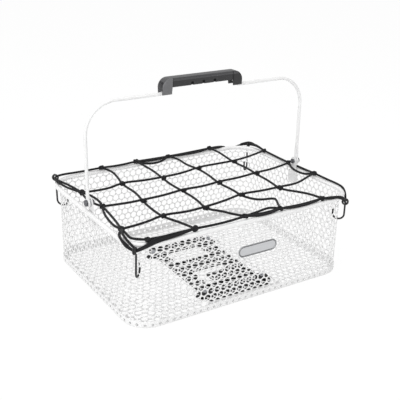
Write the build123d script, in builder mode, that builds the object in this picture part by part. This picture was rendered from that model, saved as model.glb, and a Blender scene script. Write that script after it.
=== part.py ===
from build123d import *
from math import cos, pi, radians, sin, tan
import os

os.makedirs("parts", exist_ok=True)

# Perforated steel basket for a bicycle's rear rack, with a folding carrying bail, a quick-release
# adapter plate under the floor and an elastic luggage net hooked over the top.
# X runs along the long side, Y from the front long wall to the back one, Z up.
# The origin is the centre of the base. All lengths are in millimetres.

# Rim: round steel wire bent to a rounded rectangle
rim_length = 440.0      # centre line, along X
rim_width = 332.0       # centre line, along Y
rim_corner = 47.0
rim_diameter = 8.0
rim_height = 148.0      # centre line, above the base

# Sheet metal
sheet = 1.0
weld_gap = 0.3          # rim wire to wall sheet
seam_gap = 0.1          # between plates that lie face to face

# Floor pan
flange_height = 12.0
channel_half_width = 74.0
channel_slope = 5.0
channel_rise = 5.5
bead_offset = 155.0
bead_width = 10.0
bead_rise = 3.0

# Bail and its pivots
pivot_y = -4.0
pivot_rise = 17.0       # pivots above the rim's centre line
leg_inset = 1.3         # centre lines of the legs inward from the rim's
bail_rise = 166.6       # pivot to the centre line of the top rod
bail_corner = 54.0
bail_diameter = 6.0
blade_thickness = 3.0
blade_width = 9.0
blade_length = 18.0
blade_radius = 7.5
running_gap = 0.1       # along the pivot, on each side of the blade
pivot_clearance = 0.05  # radial, blade hole to bolt
bolt_diameter = 5.0
bolt_head_diameter = 11.0
bolt_head_height = 4.4
spacer_diameter = 12.0
nut_height = 4.0
nut_flats = 8.0
fit_clearance = 0.05    # radial, fixed fasteners in their holes

# Pivot brackets
bracket_thickness = 2.0
bracket_ear_radius = 8.0
bracket_foot_width = 26.0
bracket_foot_height = 22.0
bracket_foot_drop = 26.0    # lower edge of the foot below the rim's centre line
rivet_diameter = 3.0
rivet_head_diameter = 6.0
rivet_head_height = 0.8
rivet_spacing = 16.0

# Grip on the bail's top rod
grip_left = -83.0
grip_right = 78.0
grip_width = 19.0
grip_wall = 2.8
grip_rise = 26.2        # top of the grip above the bail's top rod
grip_depth = 15.6       # of the bar between the feet
grip_left_foot = 19.0
grip_right_foot = 19.0
grip_left_drop = 1.0    # foot below the top rod's centre line
grip_right_drop = -0.8
grip_end_radius = 16.0
grip_edge_radius = 2.2
grip_end_opening = 6.0  # top of each open end below the grip's top
grip_panel_recess = 0.8  # of both faces between the feet
grip_panel_drop = 5.0   # top of the recessed panels below the grip's top
rod_crank = 18.0        # rise of the rod inside the grip
rod_crank_run = 14.0
rod_crank_inset = 6.0   # from the grip's end to the foot of the crank
rod_crank_radius = 9.0
rib_positions = [-45.0, -10.0, 13.0, 38.0]
rib_thickness = 2.5
notch_positions = [-24.8, -2.6, 19.8]
notch_width = 4.6
notch_height = 6.0
notch_depth = 4.2       # from the front face into a thicker stretch of the front wall
notch_backing = 1.2

# Adapter plate under the raised channel
plate_half_width = 61.0
plate_front = -150.0
plate_back = 86.0
plate_corner = 12.0
plate_web = 2.2
plate_rib = 2.5
boss_x = 60.0
boss_front_y = -120.0
boss_back_y = 60.0
boss_radius = 9.0
lobe_radius = 16.0
back_window = (-42.0, 34.0, 6.0, 54.0)      # left, right, front, back
front_window = (-36.0, 30.0, -94.0, -34.0)
tongue = (-17.0, 23.0, -57.0)               # left, right, free end
disc_diameter = 23.0
disc_thickness = 2.2
washer_diameter = 12.0
screw_diameter = 5.0
screw_head_diameter = 9.2
screw_head_height = 2.5
screw_socket = 3.0
square_nut = 8.0
square_nut_height = 2.9
nut_clearance = 0.2

# Badge on the front wall
badge_length = 78.0
badge_height = 20.0
badge_thickness = 2.0
badge_rim = 1.5
badge_recess = 0.6
badge_x = 15.0
badge_drop = 55.5       # middle of the badge below the rim's centre line
stud_diameter = 3.0
stud_spacing = 56.0
stud_reach = 4.0
clip_diameter = 8.0
clip_thickness = 0.8

# Elastic net and its wire hooks
elastic = 4.0
knot_radius = 5.4
knot_half_height = 4.0
knot_round = 3.4
hook_wire = 3.3
hook_eye_radius = 4.85      # centre line of the eye
hook_leg_out = 6.4          # outer leg, outward from the rim's centre line
hook_span = 20.4            # between the centre lines of the two legs
hook_tip = 20.0             # inner leg above the bend's lowest point
hook_bend = 9.5
hook_hole = 11.0
# Each corner: bearing from the long direction; then, from the rim's centre line, eye centre outward,
# eye centre upward and lowest point upward
hook_places = {
    "back_left": (45, 7.5, 8.0, -44.0),
    "back_right": (37, 9.3, 5.5, -48.0),
    "front_left": (45, 8.0, -7.5, -54.0),
    "front_right": (45, 6.2, -13.6, -50.0),
}

# Insets from the rim's centre line
wall_outer = rim_diameter / 2 + weld_gap
wall_inner = wall_outer + sheet
pan_outer = wall_outer - seam_gap - sheet
pan_inner = pan_outer + sheet

wall_bottom = channel_rise + sheet + seam_gap
pivot_height = rim_height + pivot_rise
bail_top = pivot_height + bail_rise
leg_x = rim_length / 2 - leg_inset
bracket_foot_bottom = rim_height - bracket_foot_drop
badge_z = rim_height - badge_drop
bracket_outer_x = rim_length / 2 - wall_inner - seam_gap
bracket_inner_x = bracket_outer_x - bracket_thickness
blade_inner_x = leg_x - blade_thickness / 2
blade_outer_x = leg_x + blade_thickness / 2
spacer_length = blade_inner_x - running_gap - bracket_outer_x
bolt_hole_radius = bolt_diameter / 2 + fit_clearance
corner_sides = {"back_left": (-1, 1), "back_right": (1, 1), "front_left": (-1, -1), "front_right": (1, -1)}
boss_points = [(x, y) for x in (-boss_x, boss_x) for y in (boss_front_y, boss_back_y)]


def write(piece, name):
    piece.part.label = name
    export_step(piece.part, f"parts/{name}.step")


def outline(inset, mode=Mode.ADD):
    """The basket's plan, inset from the rim's centre line."""
    RectangleRounded(rim_length - 2 * inset, rim_width - 2 * inset, rim_corner - inset, mode=mode)


def corner_plane(name, bearing):
    """The upright plane through a rim corner, from the rim's centre line: local X outward, local Y up."""
    side_x, side_y = corner_sides[name]
    along_x = side_x * cos(radians(bearing))
    along_y = side_y * sin(radians(bearing))
    centre_x = side_x * (rim_length / 2 - rim_corner)
    centre_y = side_y * (rim_width / 2 - rim_corner)
    origin = (centre_x + rim_corner * along_x, centre_y + rim_corner * along_y, rim_height)
    return Plane(origin=origin, x_dir=(along_x, along_y, 0), z_dir=(along_y, -along_x, 0))


# Rim wire
with BuildSketch(Plane.XY.offset(rim_height)) as rim_plan:
    outline(0)
rim_path = rim_plan.sketch.faces()[0].outer_wire()
with BuildPart() as rim_wire:
    with BuildSketch(Plane(origin=rim_path @ 0, z_dir=rim_path % 0)):
        Circle(rim_diameter / 2)
    sweep(path=rim_path)
write(rim_wire, "rim_wire")

# Wall band, one sheet bent round the plan, with the holes that the net's hooks, the bracket rivets
# and the badge studs pass through
bracket_rivets_y = [pivot_y - rivet_spacing / 2, pivot_y + rivet_spacing / 2]
bracket_rivet_z = bracket_foot_bottom + bracket_foot_height / 2
stud_points = [badge_x - stud_spacing / 2, badge_x + stud_spacing / 2]
with BuildPart() as wall_band:
    with BuildSketch(Plane.XY.offset(wall_bottom)):
        outline(wall_outer)
        outline(wall_inner, mode=Mode.SUBTRACT)
    extrude(amount=rim_height - wall_bottom)
    for name, (bearing, _, _, bottom) in hook_places.items():
        plane = corner_plane(name, bearing)
        with BuildSketch(Plane(origin=plane.from_local_coords((0, bottom, 0)), z_dir=plane.x_dir)):
            Circle(hook_hole / 2)
        extrude(amount=hook_span, both=True, mode=Mode.SUBTRACT)
    with BuildSketch(Plane.YZ):
        with Locations(*[(y, bracket_rivet_z) for y in bracket_rivets_y]):
            Circle(rivet_diameter / 2 + fit_clearance)
    extrude(amount=rim_length, both=True, mode=Mode.SUBTRACT)
    with BuildSketch(Plane.XZ):
        with Locations(*[(x, badge_z) for x in stud_points]):
            Circle(stud_diameter / 2 + fit_clearance)
    extrude(amount=rim_width, mode=Mode.SUBTRACT)
write(wall_band, "wall_band")

# Floor pan: a raised channel along Y between two stiffening beads, and an upturned flange
half_line = [
    (channel_half_width, channel_rise),
    (channel_half_width + channel_slope, 0),
    (bead_offset - bead_width / 2, 0),
    (bead_offset - bead_width / 6, bead_rise),
    (bead_offset + bead_width / 6, bead_rise),
    (bead_offset + bead_width / 2, 0),
    (rim_length / 2, 0),
]
floor_line = [(-x, z) for x, z in reversed(half_line)] + half_line
with BuildPart() as floor_pan:
    with BuildSketch(Plane.XZ):
        with BuildLine():
            Polyline(*floor_line, *[(x, z + sheet) for x, z in reversed(floor_line)], close=True)
        make_face()
    extrude(amount=rim_width / 2, both=True)
    with BuildSketch():
        outline(pan_outer)
    extrude(amount=flange_height, mode=Mode.INTERSECT)
    with BuildSketch():
        outline(pan_outer)
        outline(pan_inner, mode=Mode.SUBTRACT)
    extrude(amount=flange_height)
    with BuildSketch():
        with Locations(*boss_points):
            Circle(screw_diameter / 2 + nut_clearance)
    extrude(amount=channel_rise + sheet, mode=Mode.SUBTRACT)
write(floor_pan, "floor_pan")


# Pivot brackets, riveted inside the short walls
def pivot_bracket(side):
    with BuildPart() as bracket:
        with BuildSketch(Plane.YZ.offset(side * bracket_outer_x)):
            with Locations((pivot_y, bracket_foot_bottom)):
                Rectangle(bracket_foot_width, bracket_foot_height, align=(Align.CENTER, Align.MIN))
                Rectangle(
                    2 * bracket_ear_radius,
                    pivot_height - bracket_foot_bottom,
                    align=(Align.CENTER, Align.MIN),
                )
            with Locations((pivot_y, pivot_height)):
                Circle(bracket_ear_radius)
                Circle(bolt_hole_radius, mode=Mode.SUBTRACT)
            with Locations(*[(y, bracket_rivet_z) for y in bracket_rivets_y]):
                Circle(rivet_diameter / 2 + fit_clearance, mode=Mode.SUBTRACT)
        extrude(amount=-side * bracket_thickness)
    return bracket


write(pivot_bracket(-1), "pivot_bracket_left")
write(pivot_bracket(1), "pivot_bracket_right")

rivet_inner_x = bracket_inner_x - seam_gap
rivet_outer_x = rim_length / 2 - wall_outer + seam_gap
with BuildPart() as bracket_rivets:
    for side in (-1, 1):
        for start, length, diameter in (
            (rivet_inner_x - rivet_head_height, rivet_head_height, rivet_head_diameter),
            (rivet_inner_x, rivet_outer_x - rivet_inner_x, rivet_diameter),
            (rivet_outer_x, rivet_head_height, rivet_head_diameter),
        ):
            with BuildSketch(Plane.YZ.offset(side * start)):
                with Locations(*[(y, bracket_rivet_z) for y in bracket_rivets_y]):
                    Circle(diameter / 2)
            extrude(amount=side * length)
write(bracket_rivets, "bracket_rivets")

# Pivot bolts, spacers and nuts, the same on both sides
bolt_seat_x = blade_outer_x + running_gap
bolt_end_x = bracket_inner_x - nut_height - 0.5
with BuildPart() as pivot_bolts:
    for side in (-1, 1):
        with BuildSketch(Plane.YZ.offset(side * bolt_end_x)):
            with Locations((pivot_y, pivot_height)):
                Circle(bolt_diameter / 2)
        extrude(amount=side * (bolt_seat_x - bolt_end_x))
        with BuildSketch(Plane.YZ.offset(side * bolt_seat_x)):
            with Locations((pivot_y, pivot_height)):
                Circle(bolt_head_diameter / 2)
        extrude(amount=side * bolt_head_height)
    rims = pivot_bolts.edges().filter_by(GeomType.CIRCLE).sort_by(Axis.X)
    fillet([rims[0], rims[-1]], bolt_head_height / 2)
write(pivot_bolts, "pivot_bolts")

with BuildPart() as pivot_spacers:
    for side in (-1, 1):
        with BuildSketch(Plane.YZ.offset(side * bracket_outer_x)):
            with Locations((pivot_y, pivot_height)):
                Circle(spacer_diameter / 2)
                Circle(bolt_hole_radius, mode=Mode.SUBTRACT)
        extrude(amount=side * spacer_length)
write(pivot_spacers, "pivot_spacers")

with BuildPart() as pivot_nuts:
    for side in (-1, 1):
        with BuildSketch(Plane.YZ.offset(side * bracket_inner_x)):
            with Locations((pivot_y, pivot_height)):
                RegularPolygon(nut_flats / 2, 6, major_radius=False)
                Circle(bolt_hole_radius, mode=Mode.SUBTRACT)
        extrude(amount=-side * nut_height)
write(pivot_nuts, "pivot_nuts")

# Bail: one rod, cranked upward inside the grip, with a flattened blade at each end
rod_bottom = pivot_height + blade_radius + running_gap
crank_left = grip_left + rod_crank_inset
crank_right = grip_right - rod_crank_inset
rod_points = [
    (-leg_x, rod_bottom),
    (-leg_x, bail_top),
    (crank_left, bail_top),
    (crank_left + rod_crank_run, bail_top + rod_crank),
    (crank_right - rod_crank_run, bail_top + rod_crank),
    (crank_right, bail_top),
    (leg_x, bail_top),
    (leg_x, rod_bottom),
]
rod_radii = [bail_corner, rod_crank_radius, rod_crank_radius, rod_crank_radius, rod_crank_radius, bail_corner]
bail_plane = Plane.XZ.offset(-pivot_y)
with BuildPart() as bail_rod:
    with BuildLine(bail_plane) as rod_path:
        FilletPolyline(*rod_points, radius=rod_radii)
    with BuildSketch(Plane(origin=rod_path.line @ 0, z_dir=rod_path.line % 0)):
        Circle(bail_diameter / 2)
    sweep(path=rod_path.line)
    for side in (-1, 1):
        with BuildSketch(Plane.YZ.offset(side * blade_inner_x)):
            with Locations((pivot_y, pivot_height)):
                Circle(blade_radius)
                Rectangle(blade_width, blade_length, align=(Align.CENTER, Align.MIN))
                Circle(bolt_diameter / 2 + pivot_clearance, mode=Mode.SUBTRACT)
        extrude(amount=side * blade_thickness)
write(bail_rod, "bail_rod")

# Grip: an inverted channel with open ends and two feet, snapped on the rod by ribs
grip_top = bail_top + grip_rise
bar_bottom = grip_top - grip_depth
left_foot = bail_top - grip_left_drop
right_foot = bail_top - grip_right_drop
foot_slant = 1.2
grip_side = [
    (grip_left + foot_slant, left_foot),
    (grip_left, grip_top),
    (grip_right, grip_top),
    (grip_right - foot_slant, right_foot),
    (grip_right - grip_right_foot, right_foot),
    (grip_right - grip_right_foot - foot_slant, bar_bottom),
    (grip_left + grip_left_foot + foot_slant, bar_bottom),
    (grip_left + grip_left_foot, left_foot),
]
rod_in_grip = bail_top + rod_crank
channel_top = grip_top - grip_wall
channel_width = grip_width - 2 * grip_wall
end_top = grip_top - grip_end_opening
end_inset = grip_end_radius / 2
panel_length = grip_right - grip_right_foot - grip_left - grip_left_foot
panel_middle = (grip_right - grip_right_foot + grip_left + grip_left_foot) / 2
grip_front = pivot_y - grip_width / 2
backed_depth = notch_depth + notch_backing - grip_edge_radius
with BuildPart() as grip:
    with BuildSketch(bail_plane) as side_face:
        with BuildLine():
            Polyline(*grip_side, close=True)
        make_face()
        by_height = side_face.vertices().sort_by(Axis.Y)
        fillet(by_height[-2:], grip_end_radius)
        fillet(by_height[:-2], grip_edge_radius)
    extrude(amount=grip_width / 2, both=True)
    fillet(grip.faces().filter_by(Axis.Y).edges(), grip_edge_radius * 0.9)
    with BuildSketch(Plane.XY.offset(bar_bottom - grip_edge_radius)):
        with Locations(*[(panel_middle, pivot_y + side * grip_width / 2) for side in (-1, 1)]):
            Rectangle(panel_length, 2 * grip_panel_recess)
    extrude(amount=grip_depth + grip_edge_radius - grip_panel_drop, mode=Mode.SUBTRACT)
    with BuildSketch(bail_plane):
        with BuildLine():
            Polyline(
                (grip_left - grip_wall, left_foot - grip_wall),
                (grip_left - grip_wall, end_top),
                (grip_left + end_inset, end_top),
                (grip_left + grip_end_radius, channel_top),
                (grip_right - grip_end_radius, channel_top),
                (grip_right - end_inset, end_top),
                (grip_right + grip_wall, end_top),
                (grip_right + grip_wall, left_foot - grip_wall),
                close=True,
            )
        make_face()
    extrude(amount=channel_width / 2, both=True, mode=Mode.SUBTRACT)
    with BuildSketch(bail_plane):
        with Locations(*[(x, channel_top) for x in rib_positions]):
            Rectangle(rib_thickness, channel_top - rod_in_grip + 1, align=(Align.CENTER, Align.MAX))
    extrude(amount=channel_width / 2, both=True)
    with BuildSketch(Plane.YZ.offset(crank_left + rod_crank_run)):
        with Locations((pivot_y, rod_in_grip)):
            Circle(bail_diameter / 2 + seam_gap)
    extrude(amount=crank_right - crank_left - 2 * rod_crank_run, mode=Mode.SUBTRACT)
    with BuildSketch(Plane.XY.offset(bar_bottom)):
        with Locations(*[(x, grip_front + grip_edge_radius) for x in notch_positions]):
            Rectangle(notch_width + 2 * notch_backing, backed_depth, align=(Align.CENTER, Align.MIN))
    extrude(amount=notch_height + notch_backing)
    with BuildSketch(Plane.XY.offset(bar_bottom)):
        with Locations(*[(x, grip_front) for x in notch_positions]):
            Rectangle(notch_width, notch_depth, align=(Align.CENTER, Align.MIN))
    extrude(amount=notch_height, mode=Mode.SUBTRACT)
write(grip, "grip")


# Adapter plate: a ribbed plastic plate with two windows and a release tongue
def window(edges, margin=0.0, mode=Mode.ADD):
    """A rectangle from its left, right, front and back edges, grown by a margin."""
    left, right, front, back = edges
    with Locations(((left + right) / 2, (front + back) / 2)):
        RectangleRounded(right - left + 2 * margin, back - front + 2 * margin, 3 + margin, mode=mode)


plate_height = channel_rise - seam_gap
tongue_left, tongue_right, tongue_end = tongue
with BuildPart() as adapter_plate:
    with BuildSketch():
        window((-plate_half_width, plate_half_width, plate_front, plate_back))
        with Locations(*boss_points):
            Circle(lobe_radius)
    extrude(amount=plate_web)
    with BuildSketch():
        window((-plate_half_width, plate_half_width, plate_front, plate_back))
        window((-plate_half_width, plate_half_width, plate_front, plate_back), -plate_rib, mode=Mode.SUBTRACT)
        window(back_window, plate_rib)
        window(front_window, plate_rib)
        with Locations(*boss_points):
            Circle(boss_radius)
    extrude(amount=plate_height)
    with BuildSketch():
        window(back_window)
        window(front_window)
        with Locations(((tongue_left + tongue_right) / 2, front_window[2])):
            Rectangle(
                tongue_right - tongue_left,
                tongue_end - front_window[2],
                align=(Align.CENTER, Align.MIN),
                mode=Mode.SUBTRACT,
            )
        with Locations(*boss_points):
            Circle(screw_diameter / 2 + nut_clearance)
    extrude(amount=plate_height, mode=Mode.SUBTRACT)
    with BuildSketch():
        with Locations(*boss_points):
            Rectangle(square_nut + 2 * nut_clearance, square_nut + 2 * nut_clearance)
    extrude(amount=square_nut_height + nut_clearance, mode=Mode.SUBTRACT)
write(adapter_plate, "adapter_plate")

# Fixings of the adapter plate: discs at the front, washers at the back, screws and square nuts
disc_seat = channel_rise + sheet + seam_gap
screw_seat = disc_seat + disc_thickness + seam_gap


def round_plates(points, diameter):
    with BuildPart() as plates:
        with BuildSketch(Plane.XY.offset(disc_seat)):
            with Locations(*points):
                Circle(diameter / 2)
                Circle(screw_diameter / 2 + fit_clearance, mode=Mode.SUBTRACT)
        extrude(amount=disc_thickness)
    return plates


write(round_plates([(-boss_x, boss_front_y), (boss_x, boss_front_y)], disc_diameter), "clamp_discs")
write(round_plates([(-boss_x, boss_back_y), (boss_x, boss_back_y)], washer_diameter), "clamp_washers")

with BuildPart() as adapter_screws:
    with BuildSketch(Plane.XY.offset(nut_clearance)):
        with Locations(*boss_points):
            Circle(screw_diameter / 2)
    extrude(amount=screw_seat - nut_clearance)
    with BuildSketch(Plane.XY.offset(screw_seat)):
        with Locations(*boss_points):
            Circle(screw_head_diameter / 2)
    extrude(amount=screw_head_height)
    with BuildSketch(Plane.XY.offset(screw_seat + screw_head_height)):
        with Locations(*boss_points):
            RegularPolygon(screw_socket / 2, 6, major_radius=False)
    extrude(amount=-screw_head_height * 0.7, mode=Mode.SUBTRACT)
write(adapter_screws, "adapter_screws")

with BuildPart() as adapter_nuts:
    with BuildSketch(Plane.XY.offset(nut_clearance / 2)):
        with Locations(*boss_points):
            Rectangle(square_nut, square_nut)
        with Locations(*boss_points):
            Circle(screw_diameter / 2 + fit_clearance, mode=Mode.SUBTRACT)
    extrude(amount=square_nut_height)
write(adapter_nuts, "adapter_nuts")

# Badge: a bare stadium plate with a raised rim and two studs through the wall
badge_back = rim_width / 2 - wall_outer + seam_gap
with BuildPart() as badge_plate:
    with BuildSketch(Plane.XZ.offset(badge_back)):
        with Locations((badge_x, badge_z)):
            SlotOverall(badge_length, badge_height)
    extrude(amount=badge_thickness)
    with BuildSketch(Plane.XZ.offset(badge_back + badge_thickness)):
        with Locations((badge_x, badge_z)):
            SlotOverall(badge_length - 2 * badge_rim, badge_height - 2 * badge_rim)
    extrude(amount=-badge_recess, mode=Mode.SUBTRACT)
    with BuildSketch(Plane.XZ.offset(badge_back)):
        with Locations(*[(x, badge_z) for x in stud_points]):
            Circle(stud_diameter / 2)
    extrude(amount=-stud_reach)
write(badge_plate, "badge_plate")

with BuildPart() as badge_clips:
    with BuildSketch(Plane.XZ.offset(rim_width / 2 - wall_inner - seam_gap)):
        with Locations(*[(x, badge_z) for x in stud_points]):
            Circle(clip_diameter / 2)
            Circle(stud_diameter / 2 + fit_clearance, mode=Mode.SUBTRACT)
    extrude(amount=-clip_thickness)
write(badge_clips, "badge_clips")


# Net hooks: a closed eye, a long outer leg, a bend through a hole of the wall and a short tip inside
def net_hook(name, bearing, eye_out, eye_height, bottom):
    plane = corner_plane(name, bearing)
    eye = plane.from_local_coords((eye_out, eye_height, 0))
    with BuildPart() as hook:
        with BuildLine(plane) as leg:
            FilletPolyline(
                (hook_leg_out, eye_height - hook_eye_radius),
                (hook_leg_out, bottom),
                (hook_leg_out - hook_span, bottom),
                (hook_leg_out - hook_span, bottom + hook_tip),
                radius=hook_bend,
            )
        with BuildSketch(Plane(origin=leg.line @ 0, z_dir=leg.line % 0)):
            Circle(hook_wire / 2)
        sweep(path=leg.line)
        with Locations(Plane(origin=eye, z_dir=plane.z_dir)):
            Torus(hook_eye_radius, hook_wire / 2)
    return hook


for name, place in hook_places.items():
    write(net_hook(name, *place), f"net_hook_{name}")

# Elastic net. Every route is a list of points, and the cords that meet share a knot. The points are
# given for a rim of 440 x 332 mm with 47 mm corners and its centre line 148 mm up, and net_point()
# moves each one to this rim.
long_z = 156.3          # long cords where they pass over a cross cord
cross_z = 151.7         # cross cords where they pass under a long cord
edge_z = 156.2          # knots that rest on the rim
side_z = 154.0          # knots of the left border, which hangs free inside the rim

inner_knots = {
    "a1": (-117.0, 73.6), "a2": (-38.1, 62.6), "a3": (47.9, 77.1), "a4": (129.2, 73.9),
    "b1": (-122.4, -17.5), "b2": (-38.0, -9.1), "b3": (38.6, -7.6), "b4": (127.6, -2.0),
    "c1": (-125.0, -90.1), "c2": (-46.7, -96.2), "c3": (40.0, -77.2), "c4": (118.7, -83.9),
}
edge_knots = {
    "left_a": (-198.0, 69.9, side_z), "left_b": (-193.3, -5.0, side_z), "left_c": (-206.5, -102.7, side_z),
    "back_1": (-116.2, 164.5, edge_z), "back_2": (-42.4, 164.5, edge_z),
    "back_3": (27.3, 160.5, edge_z), "back_4": (128.6, 164.5, edge_z),
    "right_a": (217.7, 97.0, edge_z), "right_b": (214.5, 12.0, edge_z), "right_c": (219.0, -59.5, edge_z),
    "front_0": (-192.0, -161.0, edge_z), "front_1": (-109.4, -162.5, edge_z),
    "front_2": (-13.0, -161.4, edge_z), "front_3": (57.1, -164.5, edge_z), "front_4": (147.3, -164.5, edge_z),
}


def over(name):
    return (*inner_knots[name], long_z)


def under(name):
    return (*inner_knots[name], cross_z)


edge = edge_knots
border_route = [
    edge["front_1"], (-150, -166.4, 154.6), (-177.3, -168.1, 154.5), (-188.3, -169.1, 152.3),
    (-199.1, -166.1, 148), (-208.4, -161.4, 141.1), (-215.4, -154.4, 141.1), (-220.1, -145.1, 148),
    (-223.2, -134.5, 152.4), (-221.2, -121, 155.1), edge["left_c"], (-201, -57, 153.6), edge["left_b"],
    (-195, 34, 153.4), edge["left_a"], (-204, 108, 154.6), (-216.5, 152.5, 156), (-202.2, 166.8, 156),
    (-158, 166.6, 154.6), edge["back_1"], (-79, 163.2, 154.6), edge["back_2"], (-8, 165.8, 154.6),
    edge["back_3"], (78, 165.4, 154.6), edge["back_4"], (150, 168.5, 154.6), (171, 172.2, 151.6),
    (192.3, 172.5, 151.6), (210.8, 162.5, 153), (225.2, 143.3, 154), (224, 120, 155),
    edge["right_a"], (218.6, 52, 154.6), edge["right_b"], (219.4, 0.5, 154.9),
    (219.8, -26, 154.6), edge["right_c"], (220.8, -90, 154.6), (222.1, -123.3, 154.5), (223, -135.3, 152),
    (220.1, -145.1, 145.5), (215.3, -152.2, 135.4), (206.2, -161.3, 135.4), (199.1, -166.1, 145.5),
    (189.3, -169, 152), (177.3, -168.1, 154.5), edge["front_4"], (102, -166, 154.6), edge["front_3"],
    (22, -163.8, 154.6), edge["front_2"], (-62, -164.6, 154.6), edge["front_1"],
]
long_routes = {
    "a": [edge["left_a"], (-157, 58, 155), over("a1"), (-78, 66.5, 155), over("a2"), (4, 66, 155), over("a3"),
          (88, 78.5, 155), over("a4"), (173, 83, 155.6), edge["right_a"]],
    "b": [edge["left_b"], (-158, -14.5, 155), over("b1"), (-80, -14.5, 155), over("b2"), (0, -11.5, 155),
          over("b3"), (83, -6.5, 155), over("b4"), (168, -0.5, 155.6), edge["right_b"]],
    "c": [edge["left_c"], (-166, -103, 155), over("c1"), (-86, -97, 155), over("c2"), (-3, -87.5, 155),
          over("c3"), (80, -81.5, 155), over("c4"), (158, -84, 155), (196, -67, 155.4), edge["right_c"]],
}
cross_routes = {
    "1": [edge["back_1"], (-105, 145, 154.4), (-108, 112, 152.6), under("a1"), (-114, 28, 152), under("b1"),
          (-126, -55, 152), under("c1"), (-113, -125, 153), edge["front_1"]],
    "2": [edge["back_2"], (-37, 138, 154.2), (-34.5, 104, 152.5), under("a2"), (-41, 26, 152), under("b2"),
          (-38, -52, 152), under("c2"), (-30, -119, 153), (-23, -143, 154.4), edge["front_2"]],
    "3": [edge["back_3"], (40.5, 143, 154.4), (38, 110, 152.6), under("a3"), (45, 34, 152), under("b3"),
          (42, -42, 152), under("c3"), (50, -102, 152.6), (71, -117, 153.4), (72, -141, 154.8),
          edge["front_3"]],
    "4": [edge["back_4"], (134, 139, 154.4), (131.5, 107, 152.6), under("a4"), (132, 36, 152), under("b4"),
          (126, -42, 152), under("c4"), (134, -111, 153.2), (146, -137, 154.8), edge["front_4"]],
}
slack_routes = [
    [edge["back_2"], (-31, 156, 152.6), (-10, 152.5, 149.6), (12, 153.5, 151.4), edge["back_3"]],
    [edge["right_b"], (208.8, 1, 154.6), (203, -17, 153.2), (203.5, -37, 152.4), (208, -52, 153.4),
     edge["right_c"]],
    [edge["front_2"], (12, -156, 155), (36, -150.5, 155), (48.5, -152.5, 155.4), edge["front_3"]],
    [edge["left_c"], (-209.5, -128, 155), (-212, -147, 155.4), edge["front_0"]],
    [edge["front_0"], (-165, -160.8, 154.6), (-136, -160.4, 154.8), edge["front_1"]],
]


def net_point(x, y, z):
    """The straight runs stretch with the rim, its corners and the heights over the wire keep their shape."""
    corner_scale = rim_corner / 47
    moved = []
    for value, size, straight in ((x, rim_length, 173), (y, rim_width, 119)):
        run = min(abs(value), straight) * (size / 2 - rim_corner) / straight
        corner = max(abs(value) - straight, 0) * corner_scale
        moved.append(run + corner if value > 0 else -run - corner)
    return (*moved, rim_height + (z - 148) * (rim_diameter + elastic) / 12)


def trimmed(points, distance):
    """The route with both ends moved inward along their runs."""
    start, after, before, end = (Vector(*points[i]) for i in (0, 1, -2, -1))
    first = start + (after - start).normalized() * distance
    last = end + (before - end).normalized() * distance
    return [first, *[Vector(*point) for point in points[1:-1]], last]


def bend_radii(points):
    """Each bend as large as the shorter of its two runs allows."""
    radii = []
    for before, point, after in zip(points, points[1:], points[2:]):
        turn = (point - before).get_angle(after - point)
        shorter = min((point - before).length, (after - point).length)
        radii.append(0.45 * shorter / tan(radians(turn) / 2))
    return radii


def elastic_cord(routes, trim):
    with BuildPart() as cord:
        for route in routes:
            points = trimmed([net_point(*point) for point in route], trim)
            with BuildLine() as path:
                FilletPolyline(*points, radius=bend_radii(points))
            with BuildSketch(Plane(origin=path.line @ 0, z_dir=path.line % 0)):
                Circle(elastic / 2)
            sweep(path=path.line)
            length = sum(piece.length for piece in path.line.edges())
            tightest = min(bend_radii(points))
            volume = pi * elastic ** 2 / 4 * length
            print(f"cord {length:.1f} mm, tightest bend {tightest:.1f} mm, section x length {volume:.0f} mm3")
    return cord


end_trim = elastic / 2 + 1.6
write(elastic_cord([border_route], end_trim / 2), "net_border_cord")
for name, route in long_routes.items():
    write(elastic_cord([route], end_trim), f"net_long_cord_{name}")
for name, route in cross_routes.items():
    write(elastic_cord([route], end_trim), f"net_cross_cord_{name}")
write(elastic_cord(slack_routes, knot_radius), "net_slack_loops")

knot_points = [(x, y, (long_z + cross_z) / 2) for x, y in inner_knots.values()] + list(edge_knots.values())
with BuildPart() as net_knots:
    with Locations(*[net_point(*point) for point in knot_points]):
        Cylinder(knot_radius, 2 * knot_half_height)
    fillet(net_knots.edges().filter_by(GeomType.CIRCLE), knot_round)
write(net_knots, "net_knots")
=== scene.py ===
import bpy
import bmesh
from math import asin, atan2, copysign, cos, degrees, hypot, pi, radians, sin, tan
from mathutils import Matrix, Vector
from mathutils.geometry import delaunay_2d_cdt


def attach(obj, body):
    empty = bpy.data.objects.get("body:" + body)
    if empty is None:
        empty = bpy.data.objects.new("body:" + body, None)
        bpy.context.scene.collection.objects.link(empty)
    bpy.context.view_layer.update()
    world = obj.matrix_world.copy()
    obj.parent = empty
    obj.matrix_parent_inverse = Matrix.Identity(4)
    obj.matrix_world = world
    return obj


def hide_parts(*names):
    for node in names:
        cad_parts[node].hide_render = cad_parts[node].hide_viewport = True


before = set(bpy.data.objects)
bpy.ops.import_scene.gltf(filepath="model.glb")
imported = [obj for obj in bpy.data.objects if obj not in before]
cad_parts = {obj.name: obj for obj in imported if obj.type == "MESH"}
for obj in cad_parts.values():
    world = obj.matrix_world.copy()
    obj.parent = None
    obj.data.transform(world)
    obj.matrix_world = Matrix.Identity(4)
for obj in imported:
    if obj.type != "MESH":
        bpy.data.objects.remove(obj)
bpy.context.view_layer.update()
mm = 0.001

# Rear rack basket: perforated steel shell, folding bail, elastic net. All sizes below are in millimetres.


# Small tools

def linearColor(hexText):
    channels = [int(hexText[i:i + 2], 16) / 255 for i in (0, 2, 4)]
    return [c / 12.92 if c <= 0.04045 else ((c + 0.055) / 1.055) ** 2.4 for c in channels] + [1.0]


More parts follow.
